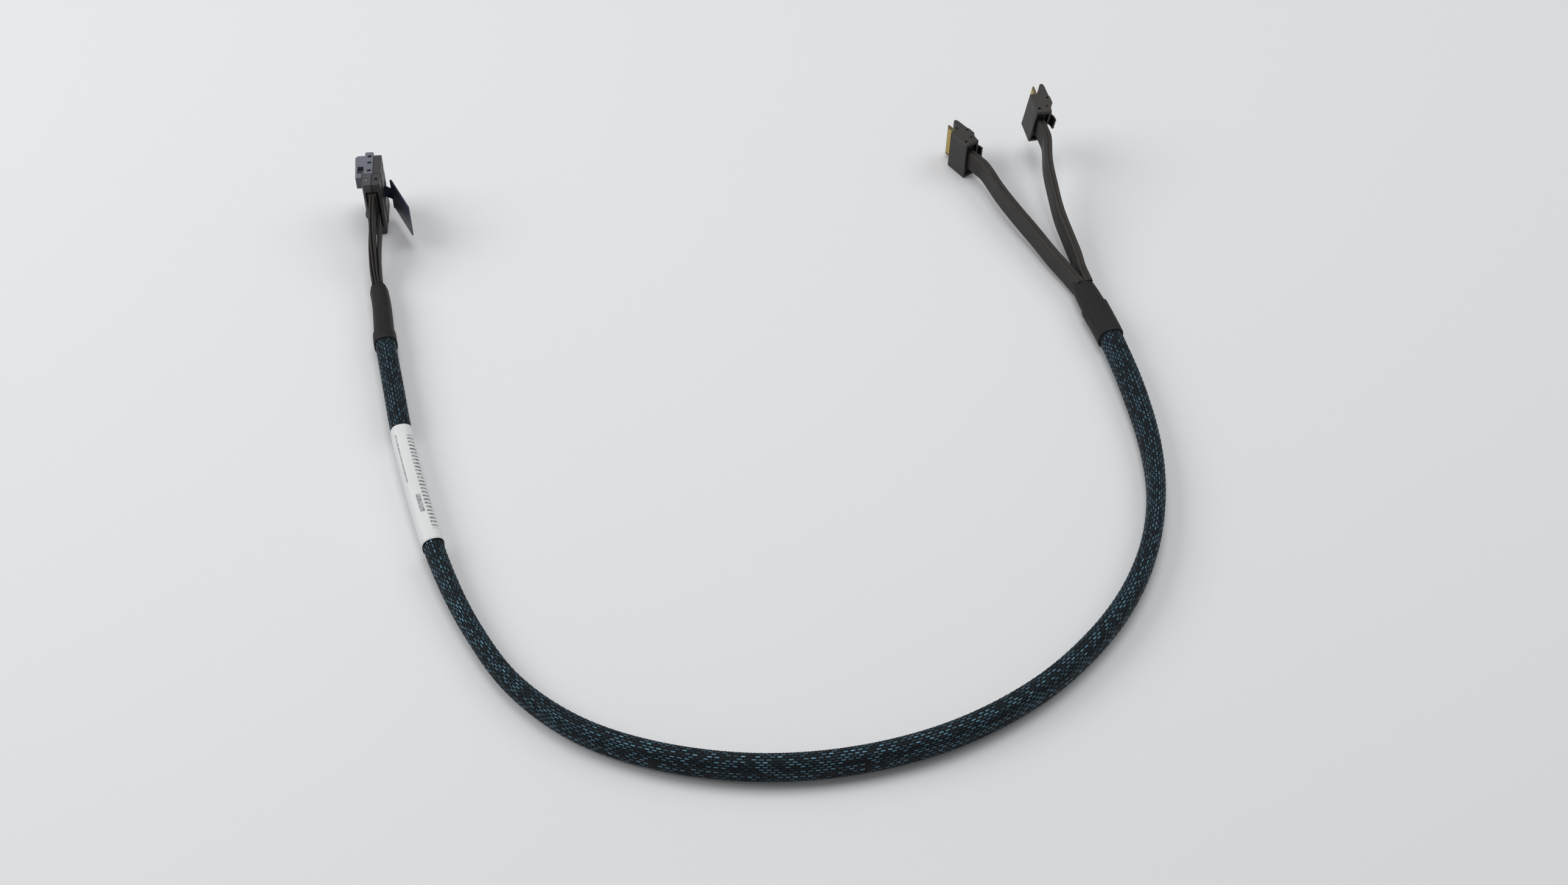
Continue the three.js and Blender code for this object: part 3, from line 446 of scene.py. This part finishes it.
vinyl = Finish("white_vinyl", Specular_IOR_Level=0.4)
where = vinyl.object_point()
around, along = vinyl.run_point()
share = vinyl.spread(along, label_start, label_end)


def printed(left, right, first, last):
    """One inside a bar of the label and nought outside it."""
    return (around > left) * (around < right) * (share > first) * (share < last)


ink = sum(printed(*bar) for bar in BARS)
ladder = printed(*LADDER) * ((along * (1 / LADDER_PITCH)).apply("FRACT") > 0.5)
fade = vinyl.spread(vinyl.noise(where, 900.0, 3.0), 0.35, 0.6, 0.45, 1.0)
shade = vinyl.noise(where, 60.0)
paper = vinyl.mix(shade, VINYL_GREYER, VINYL_WHITE)
vinyl.feed({
    "Base Color": vinyl.mix((ink * 0.75 + ladder * 0.9) * fade, paper, INK),
    "Roughness": vinyl.clouded(shade, 0.42, 0.55),
})
vinyl.relief(vinyl.noise(where, 240.0), VINYL_RELIEF)
settle(label_wrap, vinyl, "label_wrap")

# Y of heat-shrink
# A collar shrunk over the end of the sleeve and a narrower part in front of it that grips both legs.
# Its front is drawn in between the legs, so that it ends in a shallow crotch.
COLLAR_LENGTH = 20.5 * MM
COLLAR_WALL = 0.6 * MM
COLLAR_OVERHANG = 1.5 * MM
RIPPLE_DEPTH = 0.12 * MM
RIPPLE_TURN = 0.6
WAIST_SIDES = 1.45 * MM
WAIST_NOTCH = 0.7 * MM

collar_span = (sleeve_end - COLLAR_LENGTH, sleeve_end + COLLAR_OVERHANG)
collar_along = stretch(*collar_span)[1]
ripple_growth = np.clip((collar_along - collar_span[0]) / COLLAR_LENGTH, 0, 1)[:, None]
ripple = RIPPLE_DEPTH * (np.cos(corner_turn * 2 + RIPPLE_TURN) - 1) * ripple_growth
collar = wrap("collar", *collar_span, COLLAR_WALL, ripple)
settle(collar, shrink, "y_collar")

run, along = stretch(sleeve_end + SEAT_GAP, trunk_length)
drawn_in = np.clip((along - sleeve_end) / Y_SHRINK_LENGTH, 0, 1)[:, None] ** 2
# The flanks are drawn in over their whole height, the top and the bottom in a narrow notch
sides = np.abs(np.cos(corner_turn)) ** 0.5
notch = np.abs(np.sin(corner_turn)) ** 10
waist = -drawn_in * (WAIST_SIDES * sides + WAIST_NOTCH * notch * drawn_in)
y_shrink = loft("y_shrink", oval_rings(run, WRAP_CORNERS, waist), along)
settle(y_shrink, shrink, "y_heat_shrink")

# Flat ribbons from the wide plug to the trunk
# Four dark flat cables of fine cores side by side, an inner pair that leaves the plug high up and an
# outer pair that leaves it low down. Each core shows as a shallow rib along both faces.
LEAD_ROUTE = [
    (-167.9, -43.8), (-167.2, -49.7), (-166.38, -57.23), (-165.3, -65.28), (-163.9, -72.95),
    (-162.96, -77.61), (-162.02, -81.67), (-161.05, -85.2),
]
UPPER_RIBBON_Z = (23.0, 22.5, 20.2, 15.8, 10.8, 8.6, 7.6, 7.35)
LOWER_RIBBON_Z = (10.5, 10.4, 9.9, 9.0, 8.1, 7.7, 7.4, 7.3)
# Each ribbon: how far it lies to the side of the route, in mm, and its heights
RIBBONS = [(-2.1, LOWER_RIBBON_Z), (-0.7, UPPER_RIBBON_Z), (0.7, UPPER_RIBBON_Z), (2.1, LOWER_RIBBON_Z)]
RIBBON_HEIGHT = 10.5 * MM
RIBBON_THICKNESS = 1.15 * MM
RIBBON_CORES = 8
RIBBON_EDGE_SHARE = 0.06
CORE_GROOVE = 0.12 * MM
RIBBON_INTO_PLUG = 2 * MM
RIBBON_INTO_SHRINK = 3 * MM
RIBBON_SPACING = 1.2 * MM
JACKET_DARK = (0.02, 0.0185, 0.0173)
JACKET_RUBBED = (0.042, 0.038, 0.035)
JACKET_RELIEF = 0.12 * MM


def ribbon_outline():
    """Half-round ends and two long faces with a shallow groove between each two cores."""
    climb = np.linspace(-1, 1, RIBBON_CORES * 4 + 1)
    past_flat = np.clip((np.abs(climb) - 1) * RIBBON_HEIGHT + RIBBON_THICKNESS, 0, None)
    edge = np.sqrt(np.clip(1 - past_flat**2 / RIBBON_THICKNESS**2, 0, 1))
    dent = CORE_GROOVE * (0.5 + 0.5 * np.cos(climb * math.pi * RIBBON_CORES))
    x = np.maximum(RIBBON_THICKNESS / 2 * edge - dent, RIBBON_THICKNESS * RIBBON_EDGE_SHARE)
    right = np.stack([x, climb * RIBBON_HEIGHT / 2], axis=1)
    return np.vstack([right, -right])


def flat_run(name, knots, outline, lead_out, lead_in):
    """A flat cable swept upright along its knots, with both ends carried on straight into their seats."""
    run, along = smooth_run(knots, RIBBON_SPACING)
    behind, ahead = run[0] - run[1], run[-1] - run[-2]
    first = run[0] + behind * lead_out / np.linalg.norm(behind)
    last = run[-1] + ahead * lead_in / np.linalg.norm(ahead)
    run = np.vstack([first, run, last])
    along = np.concatenate([[0], along + lead_out, [along[-1] + lead_out + lead_in]])
    level, upward = cross_frames(run)
    rings = run[:, None] + outline[:, :1] * level + outline[:, 1:] * upward
    return loft(name, rings, along), run


jacket = Finish("ribbon_jacket", Specular_IOR_Level=0.25)
where = jacket.object_point()
around, along = jacket.run_point()
streak = jacket.noise(jacket.point(around * 60, along * 40), 1.0, 3.0)
rub = jacket.spread(jacket.noise(where, 160.0, 3.0), 0.5, 0.8)
jacket.feed({
    "Base Color": jacket.mix(streak * 0.7 + rub * 0.3, JACKET_DARK, JACKET_RUBBED),
    "Roughness": jacket.clouded(streak, 0.46, 0.62),
})
jacket.relief(streak + jacket.noise(where, 2400.0) * 0.3, JACKET_RELIEF)

lead_middle = np.array(LEAD_ROUTE)
lead_ahead = np.gradient(lead_middle, axis=0)
lead_side = np.stack([-lead_ahead[:, 1], lead_ahead[:, 0]], axis=1)
lead_side /= np.linalg.norm(lead_side, axis=1)[:, None]
for lead_number, (offset, heights) in enumerate(RIBBONS, start=1):
    knots = np.column_stack([lead_middle + offset * lead_side, heights])
    name = f"lead_{lead_number}"
    lead, _ = flat_run(name, knots, ribbon_outline(), RIBBON_INTO_PLUG, RIBBON_INTO_SHRINK)
    settle(lead, jacket, f"lead_ribbon_{lead_number}")

# Legs to the narrow plugs
# Each is a flat sheath over two ribbons laid face to face, so its edges show a shallow groove between
# them. They leave the Y side by side and part at once, and the far one climbs to its raised plug.
LEG_ROUTES = {
    "near": [
        (138.83, 13.45, 11.1), (141.97, 9.43, 11), (149.6, -7.4, 10.3), (156.5, -20.4, 9.7),
        (165.4, -35.8, 8.9), (174.1, -51.2, 7.9), (180.94, -62.36, 7.4), (184.52, -68.76, 7.3),
    ],
    "far": [
        (171.88, 21.46, 26.09), (173.19, 16.6, 25.24), (173.5, 2.1, 21.5), (175.5, -11.7, 18),
        (178.4, -27.2, 14.3), (182.5, -40.7, 11), (185.8, -51.7, 8.8), (187.68, -61.09, 7.5),
        (189.33, -67.39, 7.3),
    ],
}
LEG_HEIGHT = 11.2 * MM
LEG_THICKNESS = 4.2 * MM
LEG_CORNER = 1.1 * MM
LEG_GROOVE = 0.45 * MM
LEG_DISH = 0.05 * MM
LEG_DISH_SHARE = 0.45
LEG_INTO_PLUG = 8.5 * MM
LEG_INTO_Y = 4 * MM


def leg_outline():
    """A rounded oblong with a groove down the middle of each narrow edge."""
    half_x, half_y = LEG_THICKNESS / 2, LEG_HEIGHT / 2
    quarter = np.linspace(0, math.pi / 2, 6)
    corner_x = half_x - LEG_CORNER + LEG_CORNER * np.cos(quarter)
    corner_y = half_y - LEG_CORNER + LEG_CORNER * np.sin(quarter)
    up_side = np.array([[half_x - LEG_DISH, 0], [half_x, half_y * LEG_DISH_SHARE]])
    groove = np.array([[LEG_GROOVE, half_y], [0, half_y - LEG_GROOVE]])
    right = np.vstack([up_side, np.stack([corner_x, corner_y], axis=1), groove])
    top = np.vstack([right, (right * [-1, 1])[-2:0:-1]])
    return np.vstack([top, -top])


legs = {}
for prefix, knots in LEG_ROUTES.items():
    leg, leg_run = flat_run(f"{prefix}_flat_leg", knots, leg_outline(), LEG_INTO_PLUG, LEG_INTO_Y)
    settle(leg, jacket, f"{prefix}_leg")
    legs[prefix] = (leg, leg_run)

# Housings and moulds of the narrow plugs
# Two alike plugs of black glass-filled nylon with a guide blade in front. A rubbery mould holds the
# ribbons inside the back of each, and the leg ends in it.
MOULD_LOW, MOULD_HIGH = (-2.8, 1.3, 1.9), (2.8, 8.7, 20.3)
MOULD_ROUNDING = 0.7
BLOCK_SHARP = math.radians(40)
EDGE_ROUNDING = 0.22 * MM
SPARK_RELIEF = 0.04 * MM
# Each plug: the middle of its rear face at the bottom, in mm, its pitch, roll and turn, and its card's x
PLUG_PLACES = {
    "wide": ((-168.3, -40, 0), (0, 0, 6.5), -0.7),
    "near": ((135.2, 18.1, 0), (0, 0, 38), 0.2),
    "far": ((169.3, 28.5, 16), (8.5, 3.3, 15.2), 0.2),
}


def dress(finish, *names):
    """Gives solids of the frame their finish."""
    for name in names:
        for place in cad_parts[name].material_slots:
            place.material = finish.material


def moulded(name, colour, gloss, wear=0.35):
    """Moulded plastic: fine spark texture, cloudy tone, rounded edges and a few pale scuffs."""
    finish = Finish(name, Specular_IOR_Level=0.3)
    where = finish.object_point()
    cloud = finish.noise(where, 130.0, 3.0)
    spark = finish.noise(where, 3200.0)
    scuff = finish.spread(finish.noise(where, 700.0, 5.0), 0.6, 0.78)
    light = tuple(c * (1 + wear) + 0.004 for c in colour)
    finish.feed({
        "Base Color": finish.mix(cloud * 0.6 + scuff * 0.4, colour, light),
        "Roughness": finish.clouded(cloud, gloss - 0.06, gloss + 0.08),
    })
    finish.relief(spark, SPARK_RELIEF, finish.node("Bevel", {"samples": 4}, {"Radius": EDGE_ROUNDING}))
    return finish


def plug_turn(pitch, roll, turn):
    """How a plug lies: rolled about its length, pitched, then turned on the table."""
    turned = Matrix.Rotation(math.radians(turn), 4, "Z") @ Matrix.Rotation(math.radians(pitch), 4, "X")
    return turned @ Matrix.Rotation(math.radians(roll), 4, "Y")


def seated_block(name, low, high, rounding, prefix):
    """A block between two corners of a plug's own frame, with rounded edges, laid where the plug lies."""
    bpy.ops.mesh.primitive_cube_add(size=1, location=(0, 0, 0))
    piece = bpy.context.object
    piece.name = name
    low, high = Vector(low) * MM, Vector(high) * MM
    piece.data.transform(Matrix.Translation((low + high) / 2) @ Matrix.Diagonal([*(high - low), 1]))
    bpy.ops.object.mode_set(mode="EDIT")
    bpy.ops.mesh.bevel(offset=rounding * MM, segments=3, affect="EDGES")
    bpy.ops.object.mode_set(mode="OBJECT")
    place, angles, _ = PLUG_PLACES[prefix]
    piece.data.transform(Matrix.Translation([c * MM for c in place]) @ plug_turn(*angles))
    piece.data.shade_smooth()
    piece.data.set_sharp_from_angle(angle=BLOCK_SHARP)
    piece.select_set(False)
    return piece


housing_black = moulded("housing_black", (0.034, 0.032, 0.0305), 0.5)
mould_black = moulded("mould_black", (0.008, 0.0078, 0.0078), 0.7)
for prefix, (leg, leg_run) in legs.items():
    dress(housing_black, f"{prefix}_housing")
    mould = seated_block(f"{prefix}_core_mould", MOULD_LOW, MOULD_HIGH, MOULD_ROUNDING, prefix)
    settle(mould, mould_black, f"{prefix}_inner_mould")

# Press latches of the narrow plugs
# A sprung arm of the same nylon on each plug's right side. It is rubbed a little smoother than the
# housing, because the thumb presses it each time the plug is drawn.
latch_black = moulded("latch_black", (0.013, 0.0125, 0.013), 0.42)
dress(latch_black, "near_press_latch", "far_press_latch")

# Paddle cards with their gold pads
# A thin laminate board on edge in each plug. Its pads stand proud of both faces, so what lies past the
# board's own face is gold and the rest is yellowish laminate.
CARD_HALF = 0.55 * MM
LAMINATE = (0.11, 0.085, 0.022)
GOLD_DEEP = (0.66, 0.47, 0.13)
GOLD_PALE = (0.8, 0.62, 0.24)
WIPE_STRETCH = (1.0, 0.15, 1.0)
GOLD_RELIEF = 0.02 * MM

for prefix, (place, angles, card_x) in PLUG_PLACES.items():
    card = Finish(f"{prefix}_card_gold", Specular_IOR_Level=0.5)
    plug_frame = {"Location": tuple(c * MM for c in place), "Rotation": tuple(plug_turn(*angles).to_euler())}
    plug_frame["Vector"] = card.object_point()
    local = card.node("Mapping", {"vector_type": "TEXTURE"}, plug_frame)
    sideways = card.node("SeparateXYZ", None, {0: local}) - card_x * MM
    on_pad = sideways.apply("ABSOLUTE") > CARD_HALF
    stretched = card.node("VectorMath", {"operation": "MULTIPLY"}, {0: local, 1: WIPE_STRETCH})
    wiped = card.noise(stretched, 1500.0, 3.0)
    card.feed({
        "Base Color": card.mix(on_pad, LAMINATE, card.mix(wiped, GOLD_DEEP, GOLD_PALE)),
        "Metallic": on_pad,
        "Roughness": card.clouded(wiped, 0.26, 0.42),
    })
    card.relief(wiped, GOLD_RELIEF)
    dress(card, f"{prefix}_paddle_card")

# Pins, rivets and latch plate
# Drawn steel. It is bright on the latch plate and on the wide plug's left rivets. The right rivets and all
# pins of the narrow plugs are painted nearly black, a painted shade that makes them read as dark holes.
STEEL_RELIEF = 0.03 * MM

steel = Finish("drawn_steel", Metallic=1.0)
drawn = steel.noise(steel.object_point(), 1800.0, 4.0)
steel.feed({
    "Base Color": steel.mix(drawn, (0.36, 0.365, 0.37), (0.62, 0.625, 0.63)),
    "Roughness": steel.clouded(drawn, 0.24, 0.42),
})
steel.relief(drawn, STEEL_RELIEF)
dress(steel, "wide_left_rivet_top", "wide_left_rivet_bottom", "wide_latch_plate")

# Painted shade: nearly black steel that stands in for the shade of dark holes
painted_hole_shade = Finish("steel_painted_hole_shade", Metallic=1.0)
spots = painted_hole_shade.noise(painted_hole_shade.object_point(), 1800.0, 4.0)
painted_hole_shade.feed({
    "Base Color": painted_hole_shade.mix(spots, (0.01, 0.01, 0.011), (0.05, 0.048, 0.047)),
    "Roughness": painted_hole_shade.clouded(spots, 0.35, 0.5),
})
dress(painted_hole_shade, "wide_right_rivet_top", "wide_right_rivet_bottom")
for prefix in legs:
    dress(painted_hole_shade, f"{prefix}_latch_pin", f"{prefix}_rear_pin_top", f"{prefix}_rear_pin_bottom")

# Housing of the wide plug
# Bluish grey nylon at the front and darker grey on both halves of the rear shell and on the latch
# cover, over a dark mould that holds the four ribbons. A small block closes the key pocket's bottom.
KEY_FLOOR_LOW, KEY_FLOOR_HIGH = (-6.85, 8.35, 28.9), (-3.95, 13.35, 31.4)
KEY_FLOOR_ROUNDING = 0.3

grey_nylon = moulded("grey_nylon", (0.13, 0.137, 0.165), 0.46, wear=0.25)
shell_grey = moulded("shell_grey", (0.068, 0.066, 0.073), 0.48, wear=0.25)
dark_grey_nylon = moulded("dark_grey_nylon", (0.046, 0.0435, 0.046), 0.48, wear=0.25)
mould_brown = moulded("mould_brown", (0.02, 0.0185, 0.017), 0.6)
dress(grey_nylon, "wide_front_housing")
dress(shell_grey, "wide_left_shell")
dress(dark_grey_nylon, "wide_latch_cover", "wide_right_shell")
dress(mould_brown, "wide_inner_mould")

key_floor = seated_block("key_pocket_floor", KEY_FLOOR_LOW, KEY_FLOOR_HIGH, KEY_FLOOR_ROUNDING, "wide")
key_floor.data.materials.append(shell_grey.material)
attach(key_floor, "cable")

# Pull tab of the wide plug
# A thin navy blue plastic tongue that draws the latch plate back. It is cut from smooth sheet, so it
# shines more than the moulded parts and shows fine hairline scratches.
# Both navy colours are lifted a little above the plastic's own colour, a painted share of the tab's
# reflection
TAB_DEEP = (0.0145, 0.019, 0.046)
TAB_PALE = (0.033, 0.0425, 0.086)
TAB_EDGE_ROUNDING = 0.1 * MM
TAB_RELIEF = 0.06 * MM

tab_navy = Finish("tab_navy", Specular_IOR_Level=0.55, Coat_Weight=0.25, Coat_Roughness=0.2)
where = tab_navy.object_point()
flow = tab_navy.noise(where, 90.0, 3.0)
hair = tab_navy.spread(tab_navy.noise(where, 1200.0, 5.0), 0.62, 0.75)
tab_navy.feed({
    "Base Color": tab_navy.mix(flow * 0.7 + hair * 0.3, TAB_DEEP, TAB_PALE),
    "Roughness": tab_navy.clouded(flow, 0.3, 0.44),
})
tab_edge = tab_navy.node("Bevel", {"samples": 4}, {"Radius": TAB_EDGE_ROUNDING})
tab_navy.relief(flow + hair * 0.2, TAB_RELIEF, tab_edge)
dress(tab_navy, "wide_pull_tab")
